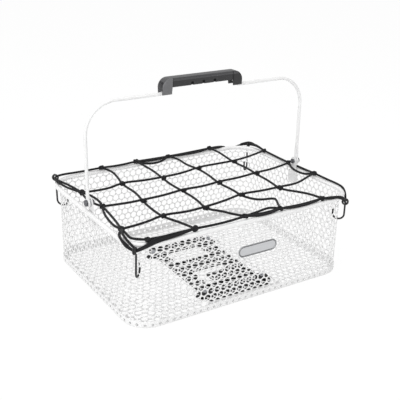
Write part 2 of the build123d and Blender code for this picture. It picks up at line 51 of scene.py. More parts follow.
def addNode(tree, kind, inputs=None, **settings):
    node = tree.nodes.new(kind)
    for key, value in settings.items():
        setattr(node, key, value)
    for key, value in (inputs or {}).items():
        if isinstance(value, bpy.types.NodeSocket):
            tree.links.new(value, node.inputs[key])
        else:
            node.inputs[key].default_value = value
    return node


def startMaterial(name):
    material = bpy.data.materials.new(name)
    material.use_nodes = True
    material.node_tree.nodes.clear()
    return material, material.node_tree


def closeMaterial(material, shader):
    addNode(material.node_tree, "ShaderNodeOutputMaterial", {"Surface": shader.outputs[0]})
    return material


def addObject(name, data):
    made = bpy.data.objects.new(name, data)
    bpy.context.collection.objects.link(made)
    return made


def newPiece(name, mesh, material, body, node):
    mesh.name = name
    piece = addObject(name, mesh)
    if material:
        mesh.materials.clear()
        mesh.materials.append(material)
    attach(piece, body)
    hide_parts(node)
    return piece


def openMesh(mesh):
    bm = bmesh.new()
    bm.from_mesh(mesh)
    return bm


def closeMesh(bm, mesh):
    bm.to_mesh(mesh)
    bm.free()
    return mesh


def closeOutward(bm, mesh):
    bmesh.ops.recalc_face_normals(bm, faces=bm.faces)
    return closeMesh(bm, mesh)


def mergePoints(bm):
    bmesh.ops.remove_doubles(bm, verts=bm.verts, dist=0.002 * mm)


# New vertices at places in plan, all at one height
def addRing(bm, places, height):
    return [bm.verts.new((place[0] * mm, place[1] * mm, height * mm)) for place in places]


# Splits every face that a plane crosses
def cutMesh(bm, place, direction, **settings):
    everything = bm.verts[:] + bm.edges[:] + bm.faces[:]
    cut = bmesh.ops.bisect_plane(
        bm, geom=everything, dist=0.001 * mm, plane_co=Vector(place) * mm, plane_no=direction, **settings)
    return cut["geom_cut"]


# Quads between rings of equal length, whose items are indices or vertices
def ringFaces(rings, closed=False):
    faces = []
    for ring, following in zip(rings, rings[1:] + rings[:1] if closed else rings[1:]):
        for k in range(len(ring)):
            n = (k + 1) % len(ring)
            faces.append((ring[k], ring[n], following[n], following[k]))
    return faces


def smoothShade(mesh, angle):
    mesh.shade_smooth()
    mesh.set_sharp_from_angle(angle=radians(angle))


def evaluatedMesh(holder):
    graph = bpy.context.evaluated_depsgraph_get()
    mesh = bpy.data.meshes.new_from_object(holder.evaluated_get(graph), depsgraph=graph)
    data = holder.data
    bpy.data.objects.remove(holder)
    if isinstance(data, bpy.types.Curve):
        bpy.data.curves.remove(data)
    return mesh


def newCurve(name, dimensions="3D"):
    curve = bpy.data.curves.new(name, "CURVE")
    curve.dimensions = dimensions
    return curve


def addSpline(curve, kind, places):
    spline = curve.splines.new(kind)
    spline.points.add(len(places) - 1)
    for point, place in zip(spline.points, places):
        point.co = (*(Vector(place).to_3d() * mm), 1)
    return spline


# Points of a NURBS line, order 3, that starts and ends on the first and last point of its route
def splinePoints(route):
    curve = newCurve("route")
    curve.resolution_u = 12
    spline = addSpline(curve, "NURBS", route)
    spline.order_u = 3
    spline.use_endpoint_u = True
    mesh = evaluatedMesh(addObject("route", curve))
    points = [vertex.co / mm for vertex in mesh.vertices]
    bpy.data.meshes.remove(mesh)
    return points


# Bent wire: straight runs with an arc at each corner, in steps of so many degrees
def wirePoints(corners, radii, step):
    corners = [Vector(corner) for corner in corners]
    points = [corners[0]]
    for before, corner, after, radius in zip(corners, corners[1:], corners[2:], radii):
        inward, outward = (before - corner).normalized(), (after - corner).normalized()
        half = inward.angle(outward) / 2
        reach = radius / tan(half)
        middle = corner + (inward + outward).normalized() * radius / sin(half)
        start, end = corner + inward * reach, corner + outward * reach
        sweep = pi - 2 * half
        count = max(3, int(degrees(sweep) / step) + 1)
        axis = (start - middle).cross(end - middle).normalized()
        for i in range(count + 1):
            points.append(middle + Matrix.Rotation(sweep * i / count, 3, axis) @ (start - middle))
    points.append(corners[-1])
    return points


# A round bar along a line of points, with domed ends unless it is closed or they are left square
def tubeMesh(name, points, radius, sides, closed=False, domed=True):
    points = [Vector(point) for point in points]
    radii = [radius] * len(points)
    if domed and not closed:
        first, last = (points[0] - points[1]).normalized(), (points[-1] - points[-2]).normalized()
        domes = [(sin(radians(a)) * radius, cos(radians(a)) * radius) for a in (25, 50, 72, 87)]
        starts = [points[0] + first * rise for rise, _ in reversed(domes)]
        ends = [points[-1] + last * rise for rise, _ in domes]
        points = starts + points + ends
        radii = [r for _, r in reversed(domes)] + radii + [r for _, r in domes]
    count = len(points)
    tangents = []
    for i in range(count):
        before = points[i - 1] if i or closed else points[0]
        after = points[(i + 1) % count] if i < count - 1 or closed else points[-1]
        tangents.append((after - before).normalized())
    normal = tangents[0].orthogonal().normalized()
    normals = [normal]
    for before, tangent in zip(tangents, tangents[1:]):
        normal = before.rotation_difference(tangent) @ normal
        normals.append((normal - tangent * normal.dot(tangent)).normalized())
    twist = 0
    if closed:
        back = tangents[-1].rotation_difference(tangents[0]) @ normals[-1]
        twist = atan2(back.cross(normals[0]).dot(tangents[0]), back.dot(normals[0]))
    vertices, along, distance = [], [], 0
    for i, (point, tangent, normal) in enumerate(zip(points, tangents, normals)):
        side = Matrix.Rotation(twist * i / count, 3, tangent) @ normal
        other = tangent.cross(side)
        if i:
            distance += (point - points[i - 1]).length
        along.append(distance)
        for k in range(sides):
            angle = 2 * pi * k / sides
            vertices.append((point + (side * cos(angle) + other * sin(angle)) * radii[i]) * mm)
    if closed:
        along.append(distance + (points[0] - points[-1]).length)
    rings = [range(i * sides, (i + 1) * sides) for i in range(count)]
    faces = ringFaces(rings, closed)
    corners = []
    for near, far in zip(along, along[1:]):
        for k in range(sides):
            low, high = k / sides, (k + 1) / sides
            corners += [(near, low), (near, high), (far, high), (far, low)]
    if not closed:
        faces += [tuple(reversed(rings[0])), tuple(rings[-1])]
        corners += [(along[0], 0.5)] * sides + [(along[-1], 0.5)] * sides
    mesh = bpy.data.meshes.new(name)
    mesh.from_pydata(vertices, [], faces)
    layer = mesh.uv_layers.new(name="alongUV")
    for loop, (u, v) in zip(layer.data, corners):
        loop.uv = (u * mm, v)
    mesh.shade_smooth()
    return mesh


def joinMeshes(name, meshes):
    bm = bmesh.new()
    for mesh in meshes:
        bm.from_mesh(mesh)
        bpy.data.meshes.remove(mesh)
    return closeMesh(bm, bpy.data.meshes.new(name))


# A CAD node's own shape with its edges broken; cuts split its flat faces where a finish changes
def finishedCopy(node, material, body, edge, segments=2, cuts=()):
    sharp = 38
    bm = openMesh(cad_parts[node].data)
    mergePoints(bm)
    bmesh.ops.dissolve_limit(bm, angle_limit=radians(1), verts=bm.verts, edges=bm.edges)
    for place, direction in cuts:
        cutMesh(bm, place, direction)
    mesh = closeMesh(bm, bpy.data.meshes.new(node))
    smoothShade(mesh, sharp)
    holder = addObject("holder", mesh)
    bevel = holder.modifiers.new("edges", "BEVEL")
    bevel.width = edge * mm
    bevel.segments = segments
    bevel.limit_method = "ANGLE"
    bevel.angle_limit = radians(sharp)
    bevel.harden_normals = True
    return newPiece(node + "_finished", evaluatedMesh(holder), material, body, node)


def startTree(name, inputs):
    tree = bpy.data.node_groups.new(name, "GeometryNodeTree")
    tree.interface.new_socket("Geometry", in_out="INPUT", socket_type="NodeSocketGeometry")
    for label, kind in inputs.items():
        tree.interface.new_socket(label, in_out="INPUT", socket_type="NodeSocket" + kind)
    tree.interface.new_socket("Geometry", in_out="OUTPUT", socket_type="NodeSocketGeometry")
    return tree, addNode(tree, "NodeGroupInput").outputs


def closeTree(tree, geometry, material):
    made = addNode(tree, "GeometryNodeRealizeInstances", {"Geometry": geometry})
    painted = addNode(tree, "GeometryNodeSetMaterial", {"Geometry": made.outputs[0], "Material": material})
    addNode(tree, "NodeGroupOutput", {0: painted.outputs[0]})


def runTree(tree, mesh, values):
    holder = addObject(tree.name, mesh)
    modifier = holder.modifiers.new(tree.name, "NODES")
    modifier.node_group = tree
    for item in tree.interface.items_tree:
        if item.in_out == "INPUT" and item.name in values:
            modifier[item.identifier] = values[item.name]
    return evaluatedMesh(holder)


# Camera
cameraSetup = {"azimuth": -32.5, "elevation": 22.14, "roll": 1.064, "lens": 66.02,
               "place": (-662.24, -1043.29, 627.39)}


def addCamera(setup):
    a, e, r = (radians(setup[key]) for key in ("azimuth", "elevation", "roll"))
    forward = Vector((-sin(a) * cos(e), cos(a) * cos(e), -sin(e)))
    right = Vector((cos(a), sin(a), 0))
    up = right.cross(forward)
    turn = Matrix((right * cos(r) + up * sin(r), up * cos(r) - right * sin(r), -forward)).transposed()
    camera = addObject("camera", bpy.data.cameras.new("camera"))
    camera.data.lens = setup["lens"]
    camera.data.clip_start = 0.05
    camera.data.clip_end = 60
    camera.matrix_world = Matrix.Translation(Vector(setup["place"]) * mm) @ turn.to_4x4()
    bpy.context.scene.camera = camera


addCamera(cameraSetup)
print("camera set")


# Finishes

# Two tones in soft patches, which stretch may draw out into lines. The relief follows the patches or a
# finer grain of its own, and so does the roughness
def skin(name, tones, patches, rough, relief=None, grain=None, roughGrain=False, stretch=None, **look):
    material, tree = startMaterial(name)
    place = addNode(tree, "ShaderNodeTexCoord").outputs["Object"]
    if stretch:
        place = addNode(tree, "ShaderNodeMapping", {"Vector": place, "Scale": stretch}).outputs[0]
    patch = addNode(tree, "ShaderNodeTexNoise", {"Vector": place, **patches}).outputs[0]
    fine = addNode(tree, "ShaderNodeTexNoise", {"Vector": place, **grain}).outputs[0] if grain else patch
    color = addNode(tree, "ShaderNodeMix", {
        0: patch, 6: linearColor(tones[0]), 7: linearColor(tones[1])}, data_type="RGBA")
    if relief:
        bump = addNode(tree, "ShaderNodeBump", {
            "Height": fine, "Strength": relief[0], "Distance": relief[1] * mm})
        look["Normal"] = bump.outputs[0]
    if isinstance(rough, tuple):
        spread = addNode(tree, "ShaderNodeMapRange", {
            "Value": fine if roughGrain else patch, "To Min": rough[0], "To Max": rough[1]})
        rough = spread.outputs[0]
    shader = addNode(tree, "ShaderNodeBsdfPrincipled", {
        "Base Color": color.outputs[2], "Roughness": rough, **look})
    return closeMaterial(material, shader)


# Injection moulded plastic with a spark-eroded grain, its size and depth in mm
def mouldedPlastic(name, dark, light, grain, roughness, depth):
    return skin(name, (dark, light), {"Scale": 60, "Detail": 4}, (roughness - 0.05, roughness + 0.05),
                (0.35, depth), {"Scale": 1 / (grain * mm), "Detail": 2}, IOR=1.53)


# Steel with a thin crystalline finish
def platedSteel(name, dark, light, roughness):
    return skin(name, (dark, light), {"Scale": 420, "Detail": 4}, (roughness - 0.06, roughness + 0.08),
                Metallic=1.0)


# Braided polyester sleeve over rubber strands: eight threads each way, about 1.5 mm wide
braid = {"threads": 8, "turnLength": 12.6, "depth": 0.25}


def braidedElastic():
    material, tree = startMaterial("braidedElastic")
    spot = addNode(tree, "ShaderNodeUVMap", uv_map="alongUV")
    parts = addNode(tree, "ShaderNodeSeparateXYZ", {0: spot.outputs[0]})
    along = addNode(tree, "ShaderNodeMath", {
        0: parts.outputs[0], 1: 1 / (braid["turnLength"] * mm)}, operation="MULTIPLY")
    threads = []
    for operation in ("ADD", "SUBTRACT"):
        turn = addNode(tree, "ShaderNodeMath", {
            0: parts.outputs[1], 1: along.outputs[0]}, operation=operation)
        angle = addNode(tree, "ShaderNodeMath", {
            0: turn.outputs[0], 1: 2 * pi * braid["threads"]}, operation="MULTIPLY")
        threads.append(addNode(tree, "ShaderNodeMath", {0: angle.outputs[0]}, operation="SINE").outputs[0])
    crossed = addNode(tree, "ShaderNodeMath", {0: threads[0], 1: threads[1]}, operation="MULTIPLY")
    weave = addNode(tree, "ShaderNodeMath", {
        0: crossed.outputs[0], 1: 0.5, 2: 0.5}, operation="MULTIPLY_ADD").outputs[0]
    color = addNode(tree, "ShaderNodeMix", {
        0: weave, 6: linearColor("08080a"), 7: linearColor("1c1c1f")}, data_type="RGBA")
    bump = addNode(tree, "ShaderNodeBump", {
        "Height": weave, "Strength": 0.7, "Distance": braid["depth"] * mm})
    return closeMaterial(material, addNode(tree, "ShaderNodeBsdfPrincipled", {
        "Base Color": color.outputs[2], "Roughness": 0.78, "Normal": bump.outputs[0], "IOR": 1.4,
        "Sheen Weight": 0.1, "Sheen Roughness": 0.4}))


# Polyester powder coat on steel: a satin white skin with a faint orange peel of about 1.5 mm
whiteCoat = skin("whitePowderCoat", ("f4f4f4", "eeeeee"), {"Scale": 22, "Detail": 3}, (0.3, 0.4),
                 (0.22, 0.1), {"Scale": 650, "Detail": 2, "Roughness": 0.4}, True, IOR=1.5)
# Dark nylon of the grip, as moulded, and copies that hold painted light: darker painted shade inside, a
# lighter painted highlight on the top and on the left foot
gripPlastic = mouldedPlastic("satinNylonGrip", "1b1b1c", "2a2a2c", 0.5, 0.42, 0.05)
paintedShadePlastic = mouldedPlastic("unrubbedNylonGrip", "060607", "0c0c0d", 0.6, 0.6, 0.05)
paintedTopLightPlastic = mouldedPlastic("rubbedNylonGrip", "363638", "48484a", 0.7, 0.34, 0.04)
paintedFootLightPlastic = mouldedPlastic("scuffedNylonGrip", "5e5e60", "727274", 0.7, 0.36, 0.04)
# Black polypropylene of the adapter plate and its discs, and grey lines of painted shade on the badge
platePlastic = mouldedPlastic("blackPolypropylene", "070708", "101011", 0.8, 0.55, 0.06)
badgeEdgeShade = mouldedPlastic("greyEnamelLine", "343537", "47484a", 0.8, 0.4, 0.02)
# Steel wire dipped in black plastisol: smooth, slightly uneven, with a soft shine
blackWire = skin("plasticDippedWire", ("0b0b0c", "19191b"), {"Scale": 180, "Detail": 2}, 0.36, (0.3, 0.15),
                 IOR=1.52)
# Zinc plate is pale with cloudy crystals, phosphate is grey and duller
zincSteel = platedSteel("zincPlatedSteel", "b4b6ba", "d2d4d7", 0.34)
darkSteel = platedSteel("greyPhosphatedSteel", "5a5b5e", "7b7c80", 0.38)
# Brushed stainless of the badge: fine scratches along its length, 0.3 mm apart, that stretch its highlight
badgeSteel = skin("brushedStainless", ("b9babc", "dcdddf"), {"Scale": 1, "Detail": 3}, (0.26, 0.44),
                  (0.15, 0.02), stretch=(30, 3000, 3000), Metallic=1.0)
elastic = braidedElastic()
print("finishes made")


# Shell

shell = {"length": 440, "width": 332, "corner": 47, "rimHeight": 148, "rimDiameter": 8, "wallInset": 4.8,
         "sheet": 1.0, "wallTop": 148, "wallBottom": 8.0}
holes = {"columns": 113, "rows": 13, "rowStep": 11.0, "firstRow": 14.0, "diameter": 11.1, "shift": 13.29,
         "lip": 0.14}
flatHalfX = shell["length"] / 2 - shell["corner"]
flatHalfY = shell["width"] / 2 - shell["corner"]


def circlePoints(radius, count, start=0.0, sweep=360.0, centre=(0, 0)):
    steps = count if sweep == 360 else count + 1
    turns = [radians(start + sweep * i / count) for i in range(steps)]
    return [(centre[0] + radius * cos(turn), centre[1] + radius * sin(turn)) for turn in turns]


# The plan of the shell, anticlockwise from the middle of the front; stops are extra places along X
def planPoints(inset, height, cornerSteps, step, stops=()):
    radius = shell["corner"] - inset

    def run(half, extra):
        count = int(half / step) + 1
        even = {round(half * i / count, 3) for i in range(-count + 1, count)}
        return sorted(even | {stop for stop in extra if abs(stop) < half})

    alongX, alongY = run(flatHalfX, stops), run(flatHalfY, ())
    points = [(x, -flatHalfY - radius) for x in alongX if x >= 0]
    for sideX, sideY, start in ((1, -1, -90), (1, 1, 0), (-1, 1, 90), (-1, -1, 180)):
        centre = (sideX * flatHalfX, sideY * flatHalfY)
        points += circlePoints(radius, cornerSteps, start, 90, centre)
        if start == -90:
            points += [(flatHalfX + radius, y) for y in alongY]
        elif start == 0:
            points += [(x, flatHalfY + radius) for x in reversed(alongX)]
        elif start == 90:
            points += [(-flatHalfX - radius, y) for y in reversed(alongY)]
    points += [(x, -flatHalfY - radius) for x in alongX if x < 0]
    return [Vector((x, y, height)) for x, y in points]


rimLine = planPoints(0, shell["rimHeight"], 24, 20)
newPiece("rim_wire_coated", tubeMesh("rim_wire_coated", rimLine, shell["rimDiameter"] / 2, 28, closed=True),
         whiteCoat, "basket", "rim_wire")


# One cell of the perforated sheet: a hexagon round a hole whose lips are slightly rounded
def perforatedCell(pitch, rowStep, diameter, sides):
    side = (rowStep ** 2 - pitch ** 2 / 4) / (2 * rowStep)
    tip = rowStep - side
    half, top = pitch / 2, shell["sheet"] / 2
    corners = [(half, side), (0, tip), (-half, side), (-half, -side), (0, -tip), (half, -side)]
    bm = bmesh.new()
    wide = diameter / 2 + holes["lip"]
    levels = [addRing(bm, circlePoints(radius, sides, 30), height)
              for radius, height in ((wide, top), (diameter / 2, 0), (wide, -top))]
    for face in ringFaces(levels):
        bm.faces.new(face)
    share = sides // 6
    for height, hole, turn in ((top, levels[0], 1), (-top, levels[2], -1)):
        outer = addRing(bm, corners, height)
        for k in range(6):
            a, b = outer[k], outer[(k + 1) % 6]
            arc = [hole[(k * share + i) % sides] for i in range(share + 1)]
            for face in ((a, arc[1], arc[0]), (a, b, *reversed(arc[1:-1])), (b, arc[-1], arc[-2])):
                bm.faces.new(face[::turn])
    return closeMesh(bm, bpy.data.meshes.new("cell"))


# Rows of points, every second one moved back by half a pitch
def latticeMesh(columns, rows, pitch, rowStep, startX, startY, kept=None):
    spots = []
    for row in range(rows):
        for column in range(columns):
            spots.append((startX + (column - row % 2 / 2) * pitch, startY + row * rowStep, 0))
    mesh = bpy.data.meshes.new("lattice")
    mesh.from_pydata([Vector(spot) * mm for spot in spots if kept is None or kept(*spot[:2])], [], [])
    return mesh


# Copies of a cell on a lattice. A bent sheet follows a plan curve: X runs along it, Y becomes the height
def perforatedTree(name, bent):
    kinds = {"Cell": "Object", "Material": "Material"}
    if bent:
        kinds["Plan"] = "Object"
    tree, sizes = startTree(name, kinds)
    cell = addNode(tree, "GeometryNodeObjectInfo", {"Object": sizes["Cell"], "As Instance": True})
    cells = addNode(tree, "GeometryNodeInstanceOnPoints", {
        "Points": sizes["Geometry"], "Instance": cell.outputs["Geometry"]})
    sheet = addNode(tree, "GeometryNodeRealizeInstances", {"Geometry": cells.outputs[0]}).outputs[0]
    if bent:
        plan = addNode(tree, "GeometryNodeObjectInfo", {"Object": sizes["Plan"]}).outputs["Geometry"]
        length = addNode(tree, "GeometryNodeCurveLength", {0: plan}).outputs[0]
        place = addNode(tree, "GeometryNodeInputPosition").outputs[0]
        spot = addNode(tree, "ShaderNodeSeparateXYZ", {0: place})
        along = addNode(tree, "ShaderNodeMath", {0: spot.outputs[0], 1: length}, operation="FLOORED_MODULO")
        sample = addNode(tree, "GeometryNodeSampleCurve", {
            "Curves": plan, "Length": along.outputs[0]}, mode="LENGTH")
        outward = addNode(tree, "ShaderNodeVectorMath", {
            0: sample.outputs["Tangent"], 1: (0, 0, 1)}, operation="CROSS_PRODUCT")
        outward = addNode(tree, "ShaderNodeVectorMath", {0: outward.outputs[0]}, operation="NORMALIZE")
        pushed = addNode(tree, "ShaderNodeVectorMath", {
            0: outward.outputs[0], "Scale": spot.outputs[2]}, operation="SCALE")
        level = addNode(tree, "ShaderNodeCombineXYZ", {2: spot.outputs[1]})
        moved = addNode(tree, "ShaderNodeVectorMath", {
            0: sample.outputs["Position"], 1: pushed.outputs[0]}, operation="ADD")
        moved = addNode(tree, "ShaderNodeVectorMath", {
            0: moved.outputs[0], 1: level.outputs[0]}, operation="ADD")
        sheet = addNode(tree, "GeometryNodeSetPosition", {
            "Geometry": sheet, "Position": moved.outputs[0]}).outputs[0]
    merged = addNode(tree, "GeometryNodeMergeByDistance", {"Geometry": sheet, "Distance": 0.03 * mm})
    closeTree(tree, merged.outputs[0], sizes["Material"])
    return tree


def runCells(tree, cell, points, values):
    holder = addObject("cell", cell)
    mesh = runTree(tree, points, {"Cell": holder, "Material": whiteCoat, **values})
    bpy.data.objects.remove(holder)
    return mesh


# A perforated band round the shell, at an inset from the rim's centre line
def bandMesh(inset, rows, firstRow, diameter, shift):
    points = planPoints(inset, 0, 48, 60)
    pitch = sum((b - a).length for a, b in zip(points, points[1:] + points[:1])) / holes["columns"]
    curve = newCurve("plan")
    addSpline(curve, "POLY", points).use_cyclic_u = True
    plan = addObject("plan", curve)
    cell = perforatedCell(pitch, holes["rowStep"], diameter, 18)
    lattice = latticeMesh(holes["columns"], rows, pitch, holes["rowStep"], shift, firstRow)
    mesh = runCells(perforatedTree("perforatedBand", True), cell, lattice, {"Plan": plan})
    bpy.data.objects.remove(plan)
    return mesh


def addWall():
    mesh = bandMesh(shell["wallInset"], holes["rows"], holes["firstRow"], holes["diameter"], holes["shift"])
    bm = openMesh(mesh)
    lowest = holes["firstRow"] * mm
    for vertex in bm.verts:
        if vertex.is_boundary and vertex.co.z < lowest:
            vertex.co.z = shell["wallBottom"] * mm
    foot = [edge for edge in bm.edges if edge.is_boundary and edge.verts[0].co.z < lowest]
    bmesh.ops.bridge_loops(bm, edges=foot)
    trimmed = cutMesh(bm, (0, 0, shell["wallTop"]), (0, 0, 1), clear_outer=True)
    edges = [part for part in trimmed if isinstance(part, bmesh.types.BMEdge)]
    bmesh.ops.holes_fill(bm, edges=edges, sides=0)
    smoothShade(closeOutward(bm, mesh), 50)
    newPiece("wall_band_perforated", mesh, None, "basket", "wall_band")


addWall()
print("wall made")


# Floor

floor = {"columns": 34, "rows": 29, "rowStep": 11.0, "pitch": 12.7, "diameter": 11.0, "margin": 8.6,
         "inset": 5.6, "channelHalf": 74.0, "channelSlope": 5.0, "channelRise": 5.5, "beadOffset": 155.0,
         "beadWidth": 10.0, "beadRise": 3.0, "rampStart": 6.5, "rampEnd": 12.5}
# The border's bend, as (inset, height) up its outer and inner skin, and the perforated flange above it
flange = {"outer": [(4.55, 0.05), (3.7, 0.45), (3.3, 1.2), (3.2, 1.8)], "inner": [(4.8, 1.15), (4.2, 1.9)],
          "inset": 3.7, "top": 11.4, "bottom": 2.4, "rowHeight": 5.05, "rowHalf": 3.0, "diameter": 4.8,
          "shift": 6.9}


# Distance inward from the rim's centre line, in plan
def insetOf(x, y):
    overX, overY = abs(x) - flatHalfX, abs(y) - flatHalfY
    return shell["corner"] - hypot(max(overX, 0), max(overY, 0)) - min(max(overX, overY), 0)


def clamped(share):
    return min(max(share, 0), 1)


# The channel and the beads are pressed up from a flat border
def floorHeight(x, y):
    x = abs(x)
    channel = clamped((floor["channelHalf"] + floor["channelSlope"] - x) / floor["channelSlope"])
    bead = clamped((floor["beadWidth"] / 2 - abs(x - floor["beadOffset"])) / (floor["beadWidth"] / 3))
    ramp = clamped((insetOf(x, y) - floor["rampStart"]) / (floor["rampEnd"] - floor["rampStart"]))
    return ramp * (channel * floor["channelRise"] + bead * floor["beadRise"])


# Whether a point lies within outlines given as pairs of points
def isWithin(point, edges):
    crossings = 0
    for a, b in edges:
        if (a.y > point.y) != (b.y > point.y):
            crossings += point.x < a.x + (b.x - a.x) * (point.y - a.y) / (b.y - a.y)
    return crossings % 2 == 1


# Fills the flat margin between the outermost cells and the plan's edge at one height
def fillMargin(bm, loopEdges, plan, height, up):
    inner = list({vertex for edge in loopEdges for vertex in edge.verts})
    places = {vertex: i for i, vertex in enumerate(inner)}
    outer = addRing(bm, plan, height)
    taken = inner + outer
    edges = [(places[e.verts[0]], places[e.verts[1]]) for e in loopEdges]
    edges += [(len(inner) + i, len(inner) + (i + 1) % len(outer)) for i in range(len(outer))]
    faces, origins = delaunay_2d_cdt([vertex.co.xy for vertex in taken], edges, [], 0, 1e-7)[2:4]
    lattice = [(e.verts[0].co.xy, e.verts[1].co.xy) for e in loopEdges]
    border = list(zip(plan, plan[1:] + plan[:1]))
    for face in faces:
        corners = [taken[origins[i][0]] for i in face]
        centre = sum((vertex.co.xy for vertex in corners), Vector((0, 0))) / 3
        if isWithin(centre / mm, border) and not isWithin(centre, lattice):
            bm.faces.new(corners if up else corners[::-1])
    return outer


def floorCells():
    cell = perforatedCell(floor["pitch"], floor["rowStep"], floor["diameter"], 12)
    startX = -(floor["columns"] - 1) / 2 * floor["pitch"]
    startY = -(floor["rows"] - 1) / 2 * floor["rowStep"]
    lattice = latticeMesh(floor["columns"], floor["rows"], floor["pitch"], floor["rowStep"], startX, startY,
                          lambda x, y: insetOf(x, y) >= floor["inset"] + floor["margin"])
    return runCells(perforatedTree("perforatedFloor", False), cell, lattice, {})


def addFloor():
    bead = [floor["beadOffset"] + floor["beadWidth"] * s for s in (-1 / 2, -1 / 6, 1 / 6, 1 / 2)]
    channel = [floor["channelHalf"], floor["channelHalf"] + floor["channelSlope"]]
    stops = [s * x for s in (-1, 1) for x in channel + bead]
    mesh = floorCells()
    bm = openMesh(mesh)
    half = shell["sheet"] / 2
    plan = planPoints(floor["inset"], 0, 12, 12, stops)
    rims = {}
    for side in (-1, 1):
        level = side * half * mm
        edges = [edge for edge in bm.edges
                 if edge.is_boundary and all(abs(v.co.z - level) < 0.01 * mm for v in edge.verts)]
        rims[side] = fillMargin(bm, edges, plan, side * half, side > 0)
    for x in stops:
        cutMesh(bm, (x, 0, 0), (1, 0, 0))
    for vertex in bm.verts:
        vertex.co.z += (floorHeight(vertex.co.x / mm, vertex.co.y / mm) + half) * mm
    for start, bend in ((rims[-1], flange["outer"]), (rims[1], flange["inner"])):
        loops = [start]
        for inset, height in bend:
            loops.append([bm.verts.new(point * mm) for point in planPoints(inset, height, 12, 12, stops)])
        for face in ringFaces(loops):
            bm.faces.new(face)
    # the band's outer vertices, above and below its holes, are drawn in to the flange's own height
    band = bandMesh(flange["inset"], 1, flange["rowHeight"], flange["diameter"], flange["shift"])
    for vertex in band.vertices:
        rise = vertex.co.z / mm - flange["rowHeight"]
        if abs(rise) > flange["rowHalf"]:
            vertex.co.z = flange["top" if rise > 0 else "bottom"] * mm
    bm.from_mesh(band)
    bpy.data.meshes.remove(band)
    seams = {"outer": [], "inner": [], "top": []}
    for edge in bm.edges:
        if edge.is_boundary:
            spot = edge.verts[0].co / mm
            layer = "outer" if insetOf(spot.x, spot.y) < flange["inset"] else "inner"
            seams["top" if spot.z > flange["rowHeight"] else layer].append(edge)
    for edges in seams.values():
        bmesh.ops.bridge_loops(bm, edges=edges)
    smoothShade(closeOutward(bm, mesh), 40)
    newPiece("floor_pan_perforated", mesh, None, "basket", "floor_pan")


addFloor()
print("floor made")


# Bail: one bent rod whose ends are pressed flat round the pivots

bail = {"pivotY": -4.0, "pivotZ": 165.0, "legX": 218.7, "topZ": 331.6, "corner": 54.0, "diameter": 6.0,
        "crankRise": 18.0, "crankRun": 14.0, "crankLeft": -77.0, "crankRight": 72.0, "crankRadius": 9.0,
        "bladeThick": 3.0, "bladeWidth": 9.0, "eyeRadius": 7.5, "boreRadius": 2.55, "bladeTop": 186.0,
        "roundFrom": 202.0, "overlap": 1.5}


# A flat plate with rounded edges from closed outlines; the second and later outlines are holes
def plateMesh(name, outlines, thickness, edge):
    curve = newCurve(name, "2D")
    curve.fill_mode = "BOTH"
    curve.extrude = (thickness / 2 - edge) * mm
    curve.bevel_depth = edge * mm
    curve.bevel_resolution = 2
    curve.offset = -edge * mm
    for outline in outlines:
        addSpline(curve, "POLY", outline).use_cyclic_u = True
    mesh = evaluatedMesh(addObject(name, curve))
    bm = openMesh(mesh)
    mergePoints(bm)
    return closeOutward(bm, mesh)


# The leg's end: a round section that turns into a flat one over its last centimetres
def flattenedEnd(side):
    top, bottom, radius = bail["roundFrom"], bail["bladeTop"] - bail["overlap"], bail["diameter"] / 2
    rings, sides = 12, 24
    vertices = []
    for i in range(rings + 1):
        share = i / rings
        ease = share * share * (3 - 2 * share)
        halfX = radius + (bail["bladeThick"] / 2 - radius) * ease
        halfY = radius + (bail["bladeWidth"] / 2 - radius) * ease
        power = 1 - 0.55 * ease
        z = top + (bottom - top) * share
        for c, s in circlePoints(1, sides):
            x = side * bail["legX"] + copysign(halfX * abs(c) ** power, c)
            y = bail["pivotY"] + copysign(halfY * abs(s) ** power, s)
            vertices.append((x * mm, y * mm, z * mm))
    loops = [range(i * sides, (i + 1) * sides) for i in range(rings + 1)]
    mesh = bpy.data.meshes.new("end")
    mesh.from_pydata(vertices, [], ringFaces(loops) + [tuple(loops[0]), tuple(loops[-1])])
    return closeOutward(openMesh(mesh), mesh)


def bladePlate(side):
    half, eye, neck = bail["bladeWidth"] / 2, bail["eyeRadius"], bail["bladeTop"] - bail["pivotZ"]
    join = degrees(asin(half / eye))
    outline = [(half, neck), (-half, neck)] + circlePoints(eye, 30, 90 + join, 360 - 2 * join)
    mesh = plateMesh("blade", [outline, circlePoints(bail["boreRadius"], 24)], bail["bladeThick"], 0.5)
    # the plate's X lies along Y and its Y along Z
    mesh.transform(Matrix(((0, 0, 1, side * bail["legX"] * mm), (1, 0, 0, bail["pivotY"] * mm),
                           (0, 1, 0, bail["pivotZ"] * mm), (0, 0, 0, 1))))
    return mesh


def addBail():
    top, leg, start = bail["topZ"], bail["legX"], bail["roundFrom"] - 1
    left, right, run = bail["crankLeft"], bail["crankRight"], bail["crankRun"]
    lifted = top + bail["crankRise"]
    corners = [(-leg, start), (-leg, top), (left, top), (left + run, lifted), (right - run, lifted),
               (right, top), (leg, top), (leg, start)]
    radii = [bail["corner"], *[bail["crankRadius"]] * 4, bail["corner"]]
    line = wirePoints([(x, bail["pivotY"], z) for x, z in corners], radii, 5)
    rod = tubeMesh("rod", line, bail["diameter"] / 2, 24, domed=False)
    ends = [flattenedEnd(-1), flattenedEnd(1), bladePlate(-1), bladePlate(1)]
    mesh = joinMeshes("bail_rod_coated", [rod, *ends])
    smoothShade(mesh, 40)
    newPiece("bail_rod_coated", mesh, whiteCoat, "bail", "bail_rod")


addBail()
# The seams are narrow strips beside the feet, flat in the shape, painted dark as a painted shadow line
grip = {"left": -83.0, "footWidth": 19.0, "footEdge": 1.2, "panelTop": 352.8, "halfDepth": 7.8, "wall": 1.3,
        "skin": 0.3, "notches": (-24.8, -2.6, 19.8), "notchHalf": 2.6,
        "seams": ((-62.8, -61.4), (56.4, 57.8))}
